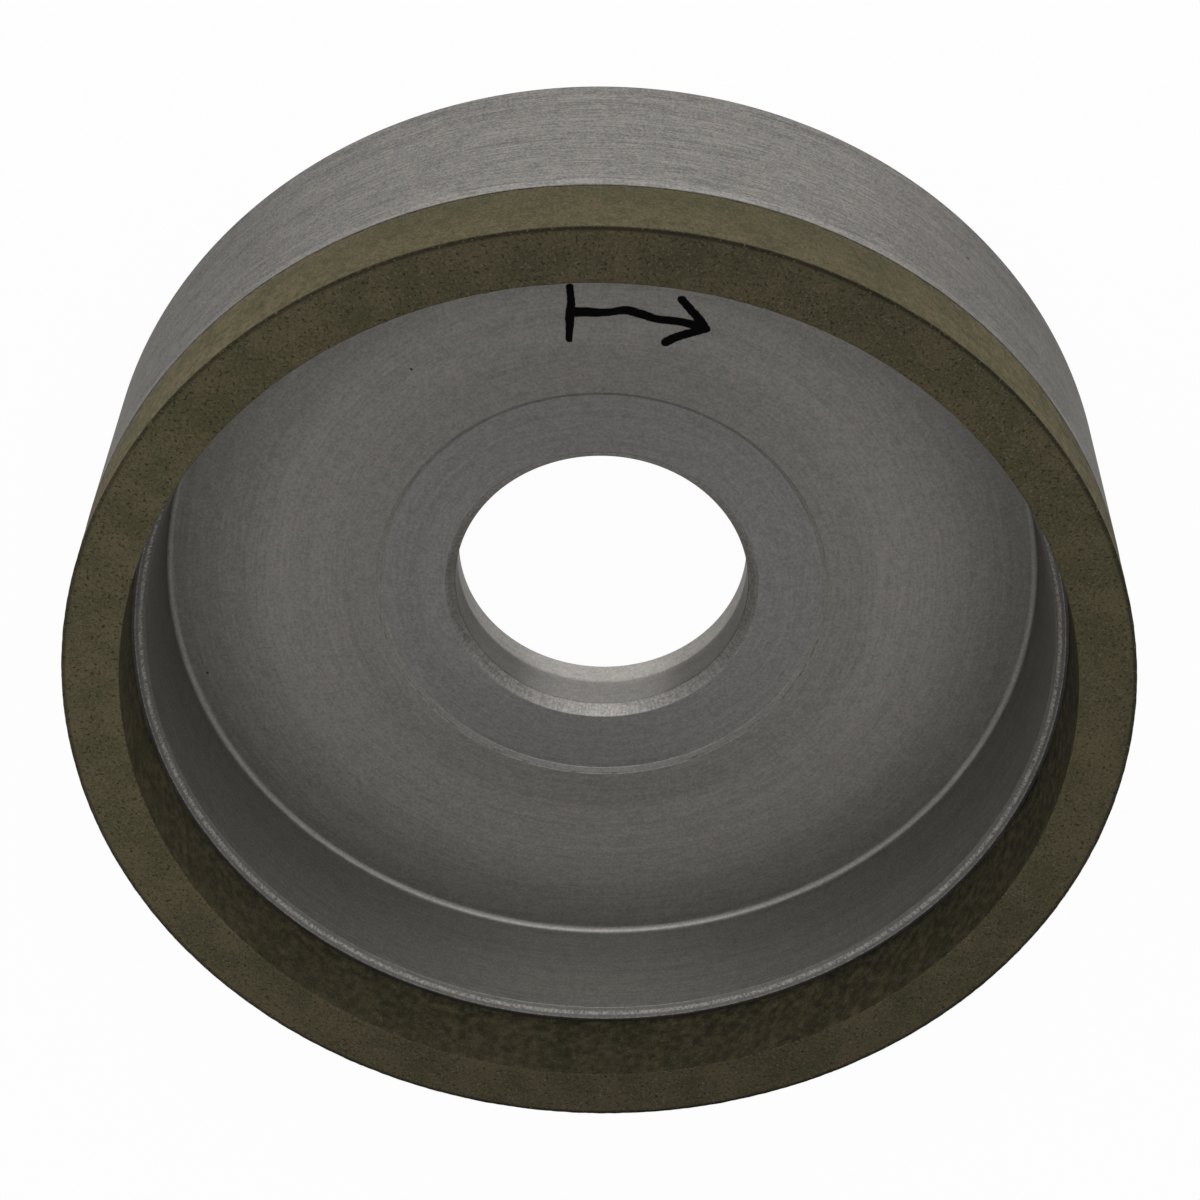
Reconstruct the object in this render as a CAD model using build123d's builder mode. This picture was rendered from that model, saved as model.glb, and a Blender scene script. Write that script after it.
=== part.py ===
from build123d import *
from math import radians, tan
import os

# Cup grinding wheel. A cup turned from aluminium bar carries a moulded abrasive ring on its rim.
# The wheel stands on its flat back with the open side up. The axis is Z and the back face is Z = 0.
# All sizes are in millimetres.

# The two pieces are trued together on the outside, so they share one radius.
outer_radius = 55.0

# The abrasive ring.
ring_width = 6.0
ring_height = 9.1
ring_edge_break = 0.15

# The cup's web is the disc that the spindle flange clamps.
web_thickness = 9.6
bore_radius = 16.0
bore_front_chamfer = 1.1
bore_back_chamfer = 0.6
back_edge_chamfer = 0.3

# A shallow seat for the clamping washer is turned round the bore, with a sloped edge.
washer_seat_width = 7.0
washer_seat_depth = 0.6
washer_seat_slope = 0.5

# The cup's wall, from the web's face up to the seat of the ring.
# A narrow land shows inside the ring, and a bevel leads from it to the wall.
cup_depth = 14.0
land_width = 0.25
bevel_width = 1.1
bevel_depth = 0.65
wall_draft = 1.5
corner_round = 0.8

# Radii and heights that follow from the sizes above.
body_height = web_thickness + cup_depth
land_radius = outer_radius - ring_width - land_width
wall_top_radius = land_radius - bevel_width
wall_foot_radius = wall_top_radius - (cup_depth - bevel_depth) * tan(radians(wall_draft))
washer_floor_height = web_thickness - washer_seat_depth
washer_floor_radius = bore_radius + bore_front_chamfer + washer_seat_width
washer_edge_radius = washer_floor_radius + washer_seat_slope

# Two radii closer than this are the same one.
radius_tolerance = 0.01

os.makedirs("parts", exist_ok=True)


def round_edges(piece, radius):
    """The round edges of one radius on a piece, from the lowest up."""
    circles = piece.edges().filter_by(GeomType.CIRCLE)
    same = circles.filter_by(lambda edge: abs(edge.radius - radius) < radius_tolerance)
    return same.sort_by(Axis.Z)


# The cup is one turned piece: its half section goes once round the axis.
with BuildPart() as body:
    with BuildSketch(Plane.XZ) as half_section:
        with BuildLine() as outline:
            Polyline(
                (bore_radius, 0),
                (outer_radius, 0),
                (outer_radius, body_height),
                (land_radius, body_height),
                (wall_top_radius, body_height - bevel_depth),
                (wall_foot_radius, web_thickness),
                (washer_edge_radius, web_thickness),
                (washer_floor_radius, washer_floor_height),
                (bore_radius, washer_floor_height),
                close=True,
            )
        make_face()
    revolve(axis=Axis.Z)

    # The bore is broken at both ends, with the larger chamfer on the washer's side.
    chamfer(round_edges(body, bore_radius)[-1], bore_front_chamfer)
    chamfer(round_edges(body, bore_radius)[0], bore_back_chamfer)

    # The outer corner of the back face is broken too.
    chamfer(round_edges(body, outer_radius)[0], back_edge_chamfer)

    # The turning tool's nose leaves a small round where the wall meets the web.
    fillet(round_edges(body, wall_foot_radius)[0], corner_round)

body.part.label = "body"


# The abrasive ring stands on the flat rim of the cup, flush with it outside.
with BuildPart() as abrasive_ring:
    with BuildSketch(Plane.XY.offset(body_height)) as ring_section:
        Circle(outer_radius)
        Circle(outer_radius - ring_width, mode=Mode.SUBTRACT)
    extrude(amount=ring_height)

    # Both edges of the working face are just taken off.
    working_face = abrasive_ring.faces().sort_by(Axis.Z)[-1]
    chamfer(working_face.edges(), ring_edge_break)

abrasive_ring.part.label = "abrasive_ring"


export_step(body.part, "parts/body.step")
export_step(abrasive_ring.part, "parts/abrasive_ring.step")
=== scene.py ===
from math import cos, radians, sin, tan

import bmesh
import bpy
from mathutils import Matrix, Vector


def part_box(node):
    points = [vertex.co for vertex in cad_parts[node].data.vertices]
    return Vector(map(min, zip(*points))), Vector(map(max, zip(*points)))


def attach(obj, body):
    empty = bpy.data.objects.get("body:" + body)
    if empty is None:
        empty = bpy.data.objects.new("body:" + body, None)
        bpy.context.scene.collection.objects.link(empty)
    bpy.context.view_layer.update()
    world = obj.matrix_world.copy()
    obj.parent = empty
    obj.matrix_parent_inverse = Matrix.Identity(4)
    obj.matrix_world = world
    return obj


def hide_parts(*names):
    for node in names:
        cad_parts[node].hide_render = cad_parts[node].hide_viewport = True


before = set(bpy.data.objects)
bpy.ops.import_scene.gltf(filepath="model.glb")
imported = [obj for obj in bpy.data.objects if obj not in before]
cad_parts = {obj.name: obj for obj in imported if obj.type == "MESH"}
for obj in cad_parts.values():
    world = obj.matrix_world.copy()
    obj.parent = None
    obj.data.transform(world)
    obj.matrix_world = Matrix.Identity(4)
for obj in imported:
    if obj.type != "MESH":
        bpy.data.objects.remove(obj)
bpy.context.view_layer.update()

mm = 0.001

# The cup.
# The real piece is turned all over from a bar of aluminium: outer wall, bevel, inner wall, web, a
# shallow seat for the clamping washer and the bore. The tool leaves fine rings on every face, and the
# dull skin has a few pits.

around_cup = 512
cup_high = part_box("body")[1]
outer_radius = cup_high.x
cup_height = cup_high.z
ring_width = 6 * mm
land_width = 0.25 * mm
land_radius = outer_radius - ring_width - land_width
bevel_width = 1.1 * mm
bevel_depth = 0.65 * mm
wall_top_radius = land_radius - bevel_width
bevel_foot_height = cup_height - bevel_depth
web_height = 9.6 * mm
wall_draft = radians(1.5)
wall_foot_radius = wall_top_radius - (bevel_foot_height - web_height) * tan(wall_draft)
foot_round = 0.8 * mm
foot_steps = 5
bore_radius = 16 * mm
bore_front_chamfer = 1.1 * mm
bore_back_chamfer = 0.6 * mm
back_edge_chamfer = 0.3 * mm
seat_depth = 0.6 * mm
seat_width = 7 * mm
seat_slope = 0.5 * mm
seat_height = web_height - seat_depth
seat_radius = bore_radius + bore_front_chamfer + seat_width
seat_edge_radius = seat_radius + seat_slope
fine_break = 0.07 * mm
fine_steps = 2
sharp_edge = radians(25)

# Two places nearer to each other than this are the same one.
same_place = 0.01 * mm


def pick(kind, wanted):
    """Selects the faces, edges or verts of the mesh in edit mode that wanted says yes to."""
    bpy.ops.mesh.select_mode(type={"faces": "FACE", "edges": "EDGE", "verts": "VERT"}[kind])
    bpy.ops.mesh.select_all(action="DESELECT")
    mesh = bmesh.from_edit_mesh(bpy.context.edit_object.data)
    for part in getattr(mesh, kind):
        part.select_set(wanted(part))
    bmesh.update_edit_mesh(bpy.context.edit_object.data)


def picked_corner():
    """One picked corner of the mesh in edit mode: its distance from the axis and its height."""
    mesh = bmesh.from_edit_mesh(bpy.context.edit_object.data)
    corner = next(vertex.co for vertex in mesh.verts if vertex.select)
    return corner.xy.length, corner.z


def turn_to(radius, height):
    """Extrudes the picked round face, and brings its edge to a radius and a height."""
    radius_now, height_now = picked_corner()
    share = radius / radius_now
    bpy.ops.mesh.extrude_region_move()
    bpy.ops.transform.resize(value=(share, share, 1), center_override=(0, 0, 0))
    bpy.ops.transform.translate(value=(0, 0, height - height_now))


def is_disc(face, height):
    """Whether a face is the one whole disc at a height, and no four-sided face of a wall."""
    return len(face.verts) > 4 and abs(face.calc_center_median().z - height) < same_place


def is_round_edge(edge, radius, height):
    """Whether an edge lies on the circle of a radius at a height."""
    return all(
        abs(end.co.xy.length - radius) < same_place and abs(end.co.z - height) < same_place
        for end in edge.verts
    )


def break_edge(radius, height, size, steps=1):
    """Bevels the round edge of a radius at a height."""
    pick("edges", lambda edge: is_round_edge(edge, radius, height))
    bpy.ops.mesh.bevel(offset=size, segments=steps, affect="EDGES")


def round_bar(name, around, radius, low, high):
    """A bar standing on the axis, ready to be turned in edit mode."""
    bpy.ops.object.select_all(action="DESELECT")
    bpy.ops.mesh.primitive_cylinder_add(
        vertices=around, radius=radius, depth=high - low, location=(0, 0, (low + high) / 2)
    )
    bar = bpy.context.object
    bar.name = name
    bpy.ops.object.transform_apply(location=True, rotation=False, scale=False)
    bpy.ops.object.mode_set(mode="EDIT")
    return bar


cup = round_bar("turned_cup", around_cup, outer_radius, 0, cup_height)

# The inside is turned from the rim down to the washer's seat.
pick("faces", lambda face: is_disc(face, cup_height))
turn_to(land_radius, cup_height)
turn_to(wall_top_radius, bevel_foot_height)
turn_to(wall_foot_radius, web_height)
turn_to(seat_edge_radius, web_height)
turn_to(seat_radius, seat_height)
turn_to(bore_radius, seat_height)
bpy.ops.mesh.delete(type="FACE")

# The bore is opened from the back and joined through.
pick("faces", lambda face: is_disc(face, 0))
turn_to(bore_radius, 0)
bpy.ops.mesh.delete(type="FACE")
pick("edges", lambda edge: len(edge.link_faces) == 1)
bpy.ops.mesh.bridge_edge_loops()
break_edge(bore_radius, seat_height, bore_front_chamfer)
break_edge(bore_radius, 0, bore_back_chamfer)
break_edge(outer_radius, 0, back_edge_chamfer)
break_edge(wall_foot_radius, web_height, foot_round, foot_steps)
bpy.ops.mesh.select_all(action="SELECT")
bpy.ops.mesh.normals_make_consistent(inside=False)
bpy.ops.object.mode_set(mode="OBJECT")


def finish_edges(piece, size, steps, sharper_than):
    """Breaks every sharp edge of a piece by a little and shades it smooth."""
    bpy.ops.object.shade_smooth()
    edge_break = piece.modifiers.new("fine break", "BEVEL")
    edge_break.width = size
    edge_break.segments = steps
    edge_break.limit_method = "ANGLE"
    edge_break.angle_limit = sharper_than
    edge_break.harden_normals = True
    bpy.ops.object.modifier_apply(modifier=edge_break.name)


finish_edges(cup, fine_break, fine_steps, sharp_edge)


class Wire:
    """A node's output. Python's operators on wires and numbers add Math nodes to the material."""

    def __init__(self, tree, socket=None):
        self.tree = tree
        self.socket = socket

    def node(self, kind, settings=None, values=None, output=0):
        """Adds a node, makes its settings, then fills its sockets with values or other wires.

        A node that ends a material has no output, and gives no wire.
        """
        node = self.tree.nodes.new(kind)
        for name, setting in (settings or {}).items():
            setattr(node, name, setting)
        for name, value in (values or {}).items():
            if isinstance(value, Wire):
                self.tree.links.new(value.socket, node.inputs[name])
            else:
                node.inputs[name].default_value = value
        return Wire(self.tree, node.outputs[output]) if node.outputs else None

    def also(self, output):
        """Another output of the same node."""
        return Wire(self.tree, self.socket.node.outputs[output])

    def maths(self, operation, *values):
        """A Math node on values or wires."""
        return self.node("ShaderNodeMath", {"operation": operation}, dict(enumerate(values)))

    def __add__(self, other):
        return self.maths("ADD", self, other)

    def __sub__(self, other):
        return self.maths("SUBTRACT", self, other)

    def __rsub__(self, other):
        return self.maths("SUBTRACT", other, self)

    def __mul__(self, other):
        return self.maths("MULTIPLY", self, other)

    def __truediv__(self, other):
        return self.maths("DIVIDE", self, other)

    def __pow__(self, other):
        return self.maths("POWER", self, other)

    def __abs__(self):
        return self.maths("ABSOLUTE", self)

    __radd__ = __add__
    __rmul__ = __mul__


def rising(value, low, high):
    """A smooth step from 0 at low to 1 at high."""
    limits = {"Value": value, "From Min": low, "From Max": high}
    return value.node("ShaderNodeMapRange", {"interpolation_type": "SMOOTHSTEP"}, limits)


def band(value, low, high, soft):
    """1 between low and high, falling to 0 over a soft width outside them."""
    return rising(value, low - soft, low) * (1 - rising(value, high, high + soft))


def colour_mix(mask, where_0, where_1):
    """One colour where the mask is 0 and the other where it is 1."""
    inputs = {0: mask, 6: where_0, 7: where_1}
    return mask.node("ShaderNodeMix", {"data_type": "RGBA"}, inputs, output=2)


def noise(place, scale, detail=2.0, roughness=0.5):
    """Smooth noise from 0 to 1 in space; scale is its waves for each millimetre."""
    values = {"Vector": place, "Scale": scale, "Detail": detail, "Roughness": roughness}
    return place.node("ShaderNodeTexNoise", {}, values)


def start_finish(name):
    """A new material and its place on the piece, in millimetres."""
    material = bpy.data.materials.new(name)
    material.use_nodes = True
    material.node_tree.nodes.clear()
    metres = Wire(material.node_tree).node("ShaderNodeTexCoord", output="Object")
    place = metres.node(
        "ShaderNodeVectorMath", {"operation": "SCALE"}, {"Vector": metres, "Scale": 1 / mm}
    )
    return material, place


def end_finish(surface, looks, relief, relief_depth):
    """Ends a material in one plain shader with a bump; relief_depth is in metres."""
    bump = surface.node(
        "ShaderNodeBump", {}, {"Strength": 1.0, "Distance": relief_depth, "Height": relief}
    )
    shader = surface.node("ShaderNodeBsdfPrincipled", {}, {"Normal": bump, **looks})
    surface.node("ShaderNodeOutputMaterial", {}, {"Surface": shader})


def round_place(place):
    """The x, y and z of a place, and its distance from the axis."""
    across = place.node("ShaderNodeSeparateXYZ", {}, {"Vector": place})
    x, y, z = across, across.also("Y"), across.also("Z")
    return x, y, z, (x * x + y * y) ** 0.5


def towards_sides(x, y, radius):
    """1 on the x axis, either way, and -1 on the y axis."""
    return (x * x - y * y) / (radius * radius)


aluminium, place = start_finish("turned_aluminium")
x, y, z, radius = round_place(place)


def ring_noise(length, pitch, detail=2.0):
    """Noise drawn out along the turning marks, of a length at the outer wall and a pitch across them."""
    turns = outer_radius / mm / length
    wound = x.node(
        "ShaderNodeCombineXYZ",
        {},
        {"X": x / radius * turns, "Y": y / radius * turns, "Z": z / pitch},
    )
    values = {"Vector": wound, "W": radius / pitch, "Scale": 1.0, "Detail": detail}
    return x.node("ShaderNodeTexNoise", {"noise_dimensions": "4D"}, values)


# From here on, sizes in a material are in millimetres. The metal's tone is a mix of all its marks.
streaks = ring_noise(4.0, 0.16)
rings = ring_noise(60.0, 0.35, detail=1.0)
broad_rings = ring_noise(90.0, 1.6, detail=1.0)
grain = noise(place, 3.5, detail=4.0, roughness=0.7)
cloud = noise(place, 0.8, detail=3.0)
metal_tone = streaks * 0.22 + rings * 0.1 + broad_rings * 0.08 + cloud * 0.1 + grain * 0.5
metal_dark = (0.195, 0.187, 0.177, 1)
metal_light = (0.415, 0.398, 0.374, 1)

# Where one face passes into the next: the start and the end of each blend, out or up.
rim_border = (49.2, 49.4)
seat_border = (24.1, 24.6)
chamfer_border = (17.0, 17.1)
bore_border = (16.02, 16.1)
web_underside = (8.5, 8.9)
web_face = (9.62, 9.9)
wall_foot = (9.9, 10.6)
wall_top = (22.9, 22.96)
bevel_foot = (22.92, 22.98)
chamfer_foot = (7, 7.5)
rim_foot = (22.1, 22.4)

# Each face has the finish of its own cut. Outside, the streaks show more and in stronger contrast.
outside_streaks = 0.1
middle_tone = 0.5
tone_spread = 0.25
outside_spread_loss = 0.12
inside = 1 - rising(radius, *rim_border)
metal_tone = metal_tone + (streaks - rings) * (1 - inside) * outside_streaks
spread = tone_spread - (1 - inside) * outside_spread_loss
metal_shade = rising(metal_tone, middle_tone - spread, middle_tone + spread)
colour = colour_mix(metal_shade, metal_dark, metal_light)
on_web = inside * (1 - rising(z, *web_face)) * rising(z, *web_underside)
on_seat = on_web * (1 - rising(radius, *seat_border))
on_inner_wall = inside * rising(z, *wall_foot) * (1 - rising(z, *wall_top))
on_bevel = inside * rising(z, *bevel_foot)
in_bore = 1 - rising(radius, *bore_border)
on_bore_chamfer = rising(radius, *bore_border) * (1 - rising(radius, *chamfer_border))
on_bore_chamfer = on_bore_chamfer * rising(z, *chamfer_foot)
under_ring = (1 - inside) * rising(z, *rim_foot)

# The web has painted light, most half way out and towards the sides, and painted shade in the corner by
# the wall.
web_light = 0.16
half_way_light = 0.14
corner_painted_shade = 0.26
side_light = 0.07
half_way_out = (32, 35)
half_way_soft = 5
corner_shade_spread = (38, 46)
half_way = band(radius, *half_way_out, half_way_soft)
near_corner = rising(radius, *corner_shade_spread)
sideways = towards_sides(x, y, radius)
on_web_light = web_light + half_way * half_way_light - near_corner * corner_painted_shade
brightness = 1 + on_web * (on_web_light + sideways * side_light)

# The seat's sloped edge has painted light, most on the near side, where y is largest, and painted shade
# on the far side.
seat_edge = 24.4
slope_reach = (24.15, 24.55)
slope_soft = 0.05
slope_light = 0.95
slope_near_light = 0.9
slope_end_loss = 0.6
on_slope = band(radius, *slope_reach, slope_soft) * on_web
seat_turn = y / seat_edge
slope_ends = seat_turn * seat_turn * slope_end_loss
brightness = brightness + on_slope * (slope_light + seat_turn * slope_near_light - slope_ends)

# The inner wall has painted light, more towards its top, and the bore painted light on its far side and
# towards the back. The outside has a painted highlight just below the ring, and dirt lines the joint.
wall_light = 0.08
wall_top_light = 0.12
wall_rise = (12, 22)
bore_light = 0.15
far_bore_light = 0.4
far_bore = (12.5, 15.8)
bore_top = (3.4, 4.0)
bore_top_loss = 0.6
rim_light = 0.2
joint_line = (23.5, 23.53)
joint_dirt = 0.7
brightness = brightness + on_inner_wall * (wall_light + rising(z, *wall_rise) * wall_top_light)
brightness = brightness + in_bore * (bore_light + rising(-1 * y, *far_bore) * far_bore_light)
brightness = brightness - in_bore * rising(z, *bore_top) * bore_top_loss
brightness = brightness + under_ring * (rim_light - rising(z, *joint_line) * joint_dirt)

# The tool has chattered. Its marks on the bore's chamfer are real, painted as bright ticks of painted
# glint, and the bevel has broken rings of painted highlight on painted shade. The round at the foot of
# the wall has a painted highlight line.
tick_light = 0.3
tick_loss = 0.03
tick_tones = (0.4, 0.6)
wide_ring = (48.1, 48.3, 0.15)
thin_ring = (48.7, 48.75, 0.06)
ring_breaks = (0.3, 0.7)
bevel_ring_light = 0.9
thin_ring_share = 0.6
bevel_loss = 0.35
foot_light = 0.15
foot_line = (9.66, 9.95, 0.06)
foot_line_start = (46.0, 46.5)
chatter = ring_noise(0.9, 4.0, detail=3.0)
bright_ticks = rising(chatter * 0.5 + grain * 0.5, *tick_tones)
bevel_rings = band(radius, *wide_ring) + band(radius, *thin_ring) * thin_ring_share
broken_rings = bevel_rings * rising(grain, *ring_breaks)
brightness = brightness + on_bore_chamfer * (bright_ticks * tick_light - tick_loss)
brightness = brightness + on_bevel * (broken_rings * bevel_ring_light - bevel_loss)
on_foot = inside * band(z, *foot_line) * rising(radius, *foot_line_start)
brightness = brightness + on_foot * foot_light


def tinted(colour, brightness, tint):
    """A colour multiplied by a number and a tint."""
    scaled = brightness.node(
        "ShaderNodeVectorMath", {"operation": "SCALE"}, {"Vector": colour, "Scale": brightness}
    )
    return brightness.node(
        "ShaderNodeVectorMath", {"operation": "MULTIPLY"}, {0: scaled, 1: tint}
    )


cool_tint = (0.99, 1.003, 1.0, 1)
warm_tint = (1.015, 0.997, 0.99, 1)
wall_tint = (0.97, 1.0, 0.995, 1)
seat_tint = (0.985, 0.995, 1.01, 1)
cloud_tones = (0.35, 0.65)
tint = colour_mix(rising(cloud, *cloud_tones), cool_tint, warm_tint)
tint = colour_mix(on_inner_wall, tint, wall_tint)
tint = colour_mix(on_seat, tint, seat_tint)
colour = tinted(colour, brightness, tint)

spot_spread = 1.5


def spot(x_place, y_place, height, size):
    """1 within a small round spot of a radius, on whatever face passes through it."""
    centre = (x_place, y_place, height)
    away = place.node("ShaderNodeVectorMath", {"operation": "DISTANCE"}, {0: place, 1: centre}, "Value")
    return 1 - rising(away + grain * size, size, size * spot_spread)


# A few pits, one of them in the bore's chamfer. Each has its place and its size.
pit_places = (
    (-43.5, -12.4, 9.6, 0.22),
    (-20.5, 26.7, 9.6, 0.2),
    (10.6, 20.3, 9.6, 0.2),
    (-16.2, 0.5, 9.0, 0.35),
    (36.1, 41.4, 9.5, 0.3),
)
pit_share = 0.8
pit_and_shade_dark = (0.03, 0.027, 0.024, 1)
pits = sum(spot(*pit) for pit in pit_places)
pits = pits.maths("MINIMUM", pits, 1)

# The far half of the seat's edge has a broken dark line of painted shade.
line_share = 0.5
line_reach = (24.5, 24.6, 0.06)
line_breaks = (0.45, 0.7)
half_border = (-8, 4)
far_half = 1 - rising(y, *half_border)
seat_edge_shade = band(radius, *line_reach) * on_web * far_half
broken_shade_line = seat_edge_shade * rising(cloud, *line_breaks) * line_share
# Pits and the painted shade at the seat's edge share one dark colour.
pits_and_painted_shade = pits.maths("MAXIMUM", pits * pit_share, broken_shade_line)
colour = colour_mix(pits_and_painted_shade, colour, pit_and_shade_dark)

# A short pen mark on the web, an arrow for the way the wheel turns, drawn by hand.
pen_width = 1.0
pen_radius = 34.0
pen_start = radians(97)
pen_end = radians(73)
pen_soft = 0.05
streak_fray = 0.25
grain_fray = 0.2
barb_length = 4.2
barb_angle = radians(38)
tail_length = 5.6
tail_angle = radians(92)
tail_drop = 2.8
arc_wander = 1.2
arc_end_soft = 0.01
ink_black = (0.008, 0.007, 0.007, 1)
wander = noise(place, 0.35, detail=0.0) - 0.5
pen_edge = pen_width / 2 + (streaks - 0.5) * streak_fray + (grain - 0.5) * grain_fray


def stroke(start, direction, length):
    """A straight stroke of the pen from a point, at an angle in radians."""
    from_x, from_y = x - start[0] + wander, y - start[1] + wander
    along = from_x * cos(direction) + from_y * sin(direction)
    beside = from_x * sin(direction) - from_y * cos(direction)
    past_end = along.maths("MAXIMUM", abs(along - length / 2) - length / 2, 0)
    away = (past_end * past_end + beside * beside) ** 0.5
    return 1 - rising(away - pen_edge, -pen_soft, pen_soft)


angle = y.maths("ARCTAN2", y, x)
off_arc = abs(radius - pen_radius + wander * arc_wander) - pen_edge
arc = (1 - rising(off_arc, -pen_soft, pen_soft)) * band(angle, pen_end, pen_start, arc_end_soft)
tip = (pen_radius * cos(pen_end), pen_radius * sin(pen_end))
tail = (pen_radius * cos(pen_start), pen_radius * sin(pen_start) - tail_drop)
back_along = pen_end + radians(90)
ink = arc.maths("MAXIMUM", arc, stroke(tail, tail_angle, tail_length))
for turn in (-barb_angle, barb_angle):
    ink = ink.maths("MAXIMUM", ink, stroke(tip, back_along + turn, barb_length))
ink = ink * on_web
colour = colour_mix(ink, colour, ink_black)

metal_roughness = 0.42
streak_roughness = 0.16
grain_relief = 0.7
ink_fill = 0.5
pit_relief = 8
metal_relief = 0.006 * mm
dull_glance = (0.4, 0.4, 0.4, 1)
looks = {
    "Base Color": colour,
    "Roughness": metal_roughness + streaks * streak_roughness,
    "Metallic": 1.0,
    "Specular Tint": dull_glance,
}
relief = (streaks + grain * grain_relief) * (1 - ink * ink_fill) - pits * pit_relief
end_finish(place, looks, relief, metal_relief)
cup.data.materials.append(aluminium)
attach(cup, "root")
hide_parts("body")

# The abrasive ring.
# The real piece is abrasive grain moulded in resin and bonded to the cup's rim, then trued with it on
# the outside. It is matt and fine-grained, with pits, and its edges crumble a little.

around_ring = 960
ring_low, ring_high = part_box("abrasive_ring")
ring_inner_radius = outer_radius - ring_width
ring_edge_break = 0.15 * mm
edge_break_steps = 2
joint_break = 0.1 * mm
wall_rows = 22
face_rows = 14
lump_detail = 2

ring = round_bar("abrasive_rim", around_ring, outer_radius, ring_low.z, ring_high.z)
for height in (ring_low.z, ring_high.z):
    pick("faces", lambda face: is_disc(face, height))
    turn_to(ring_inner_radius, height)
    bpy.ops.mesh.delete(type="FACE")
pick("edges", lambda edge: len(edge.link_faces) == 1)
bpy.ops.mesh.bridge_edge_loops()
for edge_radius in (outer_radius, ring_inner_radius):
    break_edge(edge_radius, ring_high.z, ring_edge_break, edge_break_steps)
    break_edge(edge_radius, ring_low.z, joint_break)


def lies_between(edge, low, high):
    """Whether an edge doesn't run round the ring, and has a length from low to high."""
    first, second = (end.co for end in edge.verts)
    same_circle = abs(first.xy.length - second.xy.length) + abs(first.z - second.z) < same_place
    return not same_circle and low < edge.calc_length() < high


# The walls' upright edges are 7 to 10 mm long, and the flat faces' 4 to 7 mm.
wall_edges = (wall_rows, 7 * mm, 10 * mm)
face_edges = (face_rows, 4 * mm, 7 * mm)
for rows, low, high in (wall_edges, face_edges):
    pick("edges", lambda edge: lies_between(edge, low, high))
    bpy.ops.mesh.subdivide(number_cuts=rows)

# The working edges have crumbled a little, and one place on the outside has chipped.
chip_place = Vector((-44.2, 32.2, 32.7)) * mm
chip_size = 0.5 * mm
chip_push = (0.22 * mm, -0.16 * mm, -0.22 * mm)
edge_reach = 0.2 * mm
crumbled = ring.vertex_groups.new(name="working edges")
pick(
    "verts",
    lambda vertex: vertex.co.z > ring_high.z - edge_reach
    and (
        vertex.co.xy.length > outer_radius - edge_reach
        or vertex.co.xy.length < ring_inner_radius + edge_reach
    ),
)
bpy.ops.object.vertex_group_assign()
pick("verts", lambda vertex: (vertex.co - chip_place).length < chip_size)
bpy.ops.transform.translate(value=chip_push)
bpy.ops.mesh.select_all(action="SELECT")
bpy.ops.mesh.normals_make_consistent(inside=False)
bpy.ops.object.mode_set(mode="OBJECT")


def roughen(piece, grain_size, depth, group=""):
    """Presses a piece's surface in by up to a depth, in grains of a size."""
    lumps = bpy.data.textures.new(piece.name + " lumps", "CLOUDS")
    lumps.noise_scale = grain_size
    lumps.noise_depth = lump_detail
    pressed = piece.modifiers.new("roughen", "DISPLACE")
    pressed.texture = lumps
    pressed.texture_coords = "LOCAL"
    pressed.mid_level = 0
    pressed.strength = -depth
    pressed.vertex_group = group
    bpy.ops.object.modifier_apply(modifier=pressed.name)


skin_grain = 0.5 * mm
skin_depth = 0.03 * mm
edge_grain = 0.9 * mm
edge_depth = 0.09 * mm
smooth_under = radians(40)
roughen(ring, skin_grain, skin_depth)
roughen(ring, edge_grain, edge_depth, crumbled.name)
bpy.ops.object.shade_smooth_by_angle(angle=smooth_under)

abrasive, place = start_finish("bonded_abrasive")
x, y, z, radius = round_place(place)
mottle = noise(place, 0.22, detail=4.0, roughness=0.6)
sand = noise(place, 3.5, detail=4.0, roughness=0.7)
green = (0.061, 0.058, 0.029, 1)
brown = (0.102, 0.083, 0.047, 1)

# Where one face of the ring passes into the next, as for the cup.
face_border = (32.4, 32.65)
outside_border = (54.9, 54.97)
inside_border = (49.03, 49.1)
joint_border = (23.62, 23.75)
foot_border = (49.1, 49.3)
foot_top = (24.3, 24.8)
edge_line = (54.7, 55.0)
edge_line_foot = (32.35, 32.5)

# The working face is the most open. The outside is trued smooth, and lighter towards its edge.
outside_sand = 0.2
blend_tones = (0.4, 0.6)
edge_rag = 0.6
on_face = rising(z, *face_border)
on_outside = rising(radius, *outside_border)
on_inside = 1 - rising(radius, *inside_border)
blend = sand * 0.6 + mottle * 0.4 + (sand - mottle) * on_outside * outside_sand
colour = colour_mix(rising(blend, *blend_tones), green, brown)
at_joint = 1 - rising(z, *joint_border)
foot_shade = (1 - rising(radius, *foot_border)) * (1 - rising(z, *foot_top))
ragged_radius = radius + sand * edge_rag
outer_edge = rising(ragged_radius, *edge_line) * rising(z, *edge_line_foot)

# The ring has painted light, a little more to the left and on the near side, and on its face towards
# both sides.
ring_reach = 55
ring_light = 0.82
near_light = 0.06
right_loss = 0.12
face_side_light = 0.16
sand_light = 0.4
sideways = towards_sides(x, y, radius)
brightness = ring_light + y / ring_reach * near_light - x / ring_reach * right_loss
brightness = brightness + on_face * sideways * face_side_light + sand * sand_light

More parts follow.
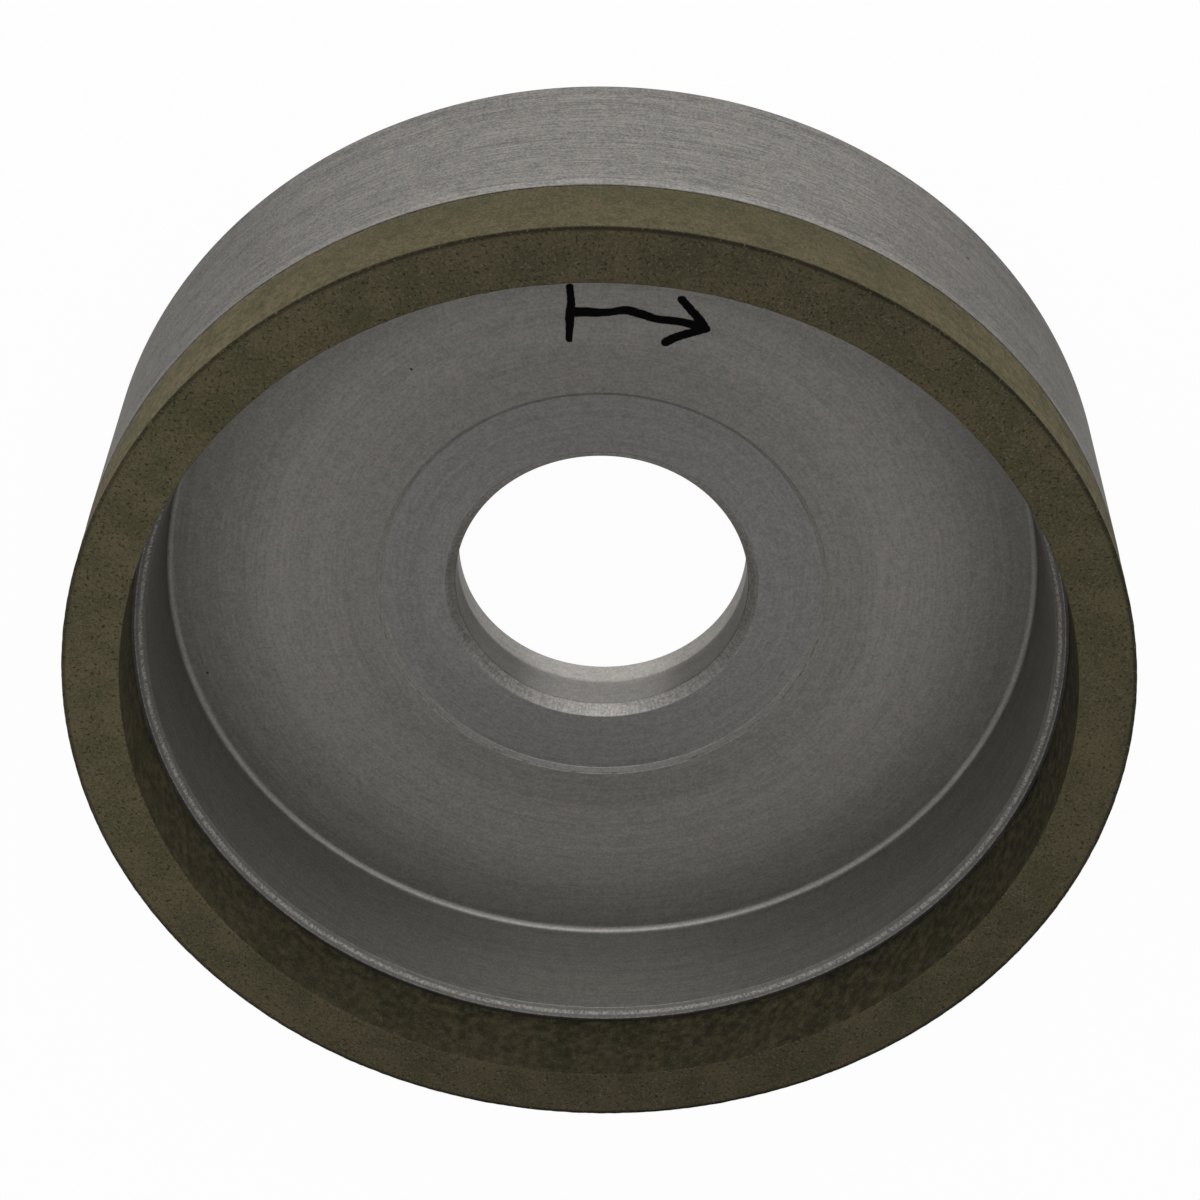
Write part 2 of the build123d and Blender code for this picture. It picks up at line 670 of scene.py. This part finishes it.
# The trued outside has painted light, least where y is largest, and is lighter towards the working edge.
# The inside has painted shade, less towards its top. Dirt lines the joint, and a darker line runs along
# the outer edge.
outside_light = 0.28
pale_side_light = 0.6
outside_edge_light = 0.3
inside_loss = 0.66
inside_edge_light = 0.14
foot_loss = 0.12
outer_edge_dark = 0.6
ring_joint_dirt = 0.5
near_part = (36, 54)
outside_climb = (25, 32)
inside_climb = (24, 32)
pale_sides = 1 - rising(y, *near_part)
outside_rise = pale_sides * pale_side_light + rising(z, *outside_climb) * outside_edge_light
brightness = brightness + on_outside * (outside_light + outside_rise)
brightness = brightness - on_inside * (inside_loss - rising(z, *inside_climb) * inside_edge_light)
brightness = brightness - foot_shade * foot_loss
brightness = brightness - outer_edge * outer_edge_dark - at_joint * on_outside * ring_joint_dirt
plain_tint = (1, 1, 1)
colour = tinted(colour, brightness, plain_tint)

# Pores open mostly on the working face. Pale grains show least on the inside.
closed_pores = 0.35
pore_share = 0.7
inside_grain_loss = 0.85
grain_share = 0.5
pore_tones = (0.6, 0.69)
grain_tones = (0.64, 0.72)
pore_dark = (0.018, 0.016, 0.011, 1)
grain_light = (0.17, 0.155, 0.11, 1)
pores = rising(noise(place, 2.6, detail=2.0), *pore_tones)
pores = pores * (closed_pores + on_face * (1 - closed_pores))
grains = rising(noise(place, 4.0, detail=1.0), *grain_tones)
grains = grains * (1 - on_inside * inside_grain_loss)
colour = colour_mix(pores * pore_share, colour, pore_dark)
colour = colour_mix(grains * grain_share, colour, grain_light)

ring_roughness = 0.85
sand_roughness = 0.1
ring_gloss = 0.2
grain_height = 0.4
pore_depth = 1.5
ring_relief = 0.03 * mm
looks = {
    "Base Color": colour,
    "Roughness": ring_roughness + sand * sand_roughness,
    "Specular IOR Level": ring_gloss,
}
relief = sand + grains * grain_height - pores * pore_depth
end_finish(place, looks, relief, ring_relief)
ring.data.materials.append(abrasive)
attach(ring, "root")
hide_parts("abrasive_ring")

# The floor.
# It is plain and pale. The camera sees it white, and so in part does the metal, most of all in front of
# the wheel and through the bore.

floor_width = 3.0
floor_height = -0.05 * mm
floor_pale = (0.85, 0.85, 0.85, 1)
white = (1, 1, 1, 1)
white_share = 0.97
mirrored_share = 0.45
mirrored_in_front = 0.5
front_border = (0.6, 1.0)
bore_hole = (17 * mm, 20 * mm)

bpy.ops.object.select_all(action="DESELECT")
bpy.ops.mesh.primitive_plane_add(size=floor_width, location=(0, 0, floor_height))
floor = bpy.context.object
floor.name = "floor"
pale = bpy.data.materials.new("pale_floor")
pale.use_nodes = True
pale.node_tree.nodes.clear()
rays = Wire(pale.node_tree).node("ShaderNodeLightPath", output="Is Camera Ray")
mirrored = rays.also("Is Glossy Ray") + rays.also("Is Transmission Ray")
lit = rays.node("ShaderNodeBsdfDiffuse", {}, {"Color": floor_pale})
bright = rays.node("ShaderNodeEmission", {}, {"Color": white, "Strength": 1.0})
floor_place = rays.node("ShaderNodeTexCoord", output="Object")
_, near, _, out = round_place(floor_place)
# The floor shows whiter in the metal in front of the wheel and under the bore: a painted reflection.
in_front = rising(near / out, *front_border) + 1 - rising(out, *bore_hole)
in_front = in_front.maths("MINIMUM", in_front, 1.0)
mirrored = mirrored * (mirrored_share + in_front * mirrored_in_front)
share = rays.maths("MINIMUM", rays * white_share + mirrored, 1.0)
shown = rays.node("ShaderNodeMixShader", {}, {0: share, 1: lit, 2: bright})
rays.node("ShaderNodeOutputMaterial", {}, {"Surface": shown})
floor.data.materials.append(pale)

# The light.
# It is soft: a white room, brighter on the camera's side of the wheel than on the far one, and one wide
# lamp on the camera's side.

room_level = 0.5
near_share = 0.65
backdrop_level = 0.985
world = bpy.data.worlds.new("room")
bpy.context.scene.world = world
world.use_nodes = True
world.node_tree.nodes.clear()
rays = Wire(world.node_tree).node("ShaderNodeLightPath", output="Is Camera Ray")
towards = rays.node("ShaderNodeTexCoord", output="Generated")
near = rays.node("ShaderNodeSeparateXYZ", {}, {"Vector": towards}, "Y")
level = room_level * (1 + near * near_share)
level = level + rays * (backdrop_level - level)
background = rays.node("ShaderNodeBackground", {}, {"Color": white, "Strength": level})
rays.node("ShaderNodeOutputWorld", {}, {"Surface": background})

lamp_place = Vector((0, 0.37, 0.25))
lamp_aim = Vector((0, 0, 0.02))
lamp = bpy.data.objects.new("front_lamp", bpy.data.lights.new("front_lamp", "AREA"))
lamp.data.shape = "RECTANGLE"
lamp.data.size = 0.34
lamp.data.size_y = 0.2
lamp.data.energy = 0.4
lamp.location = lamp_place
lamp.rotation_euler = (lamp_aim - lamp_place).to_track_quat("-Z", "Y").to_euler()
bpy.context.scene.collection.objects.link(lamp)

# The camera.
# It looks at the open side from 33 degrees off the axis, as the photograph does.

tilt = radians(32.84)
roll = radians(1.74)
distance = 312.9 * mm
aim_right = -0.22 * mm
aim_down = 11.55 * mm
sensor_width = 36.0
photo_width = 1200
focal_pixels = 3052

camera = bpy.data.objects.new("camera", bpy.data.cameras.new("camera"))
camera.data.sensor_width = sensor_width
camera.data.lens = focal_pixels / photo_width * sensor_width
camera.rotation_mode = "ZYX"
camera.rotation_euler = (-tilt, 0, roll)
axes = camera.rotation_euler.to_matrix()
to_camera = axes @ Vector((-aim_right, aim_down, distance))
camera.location = Vector((0, 0, ring_high.z)) + to_camera
bpy.context.scene.collection.objects.link(camera)
bpy.context.scene.camera = camera
bpy.context.scene.view_settings.view_transform = "Standard"
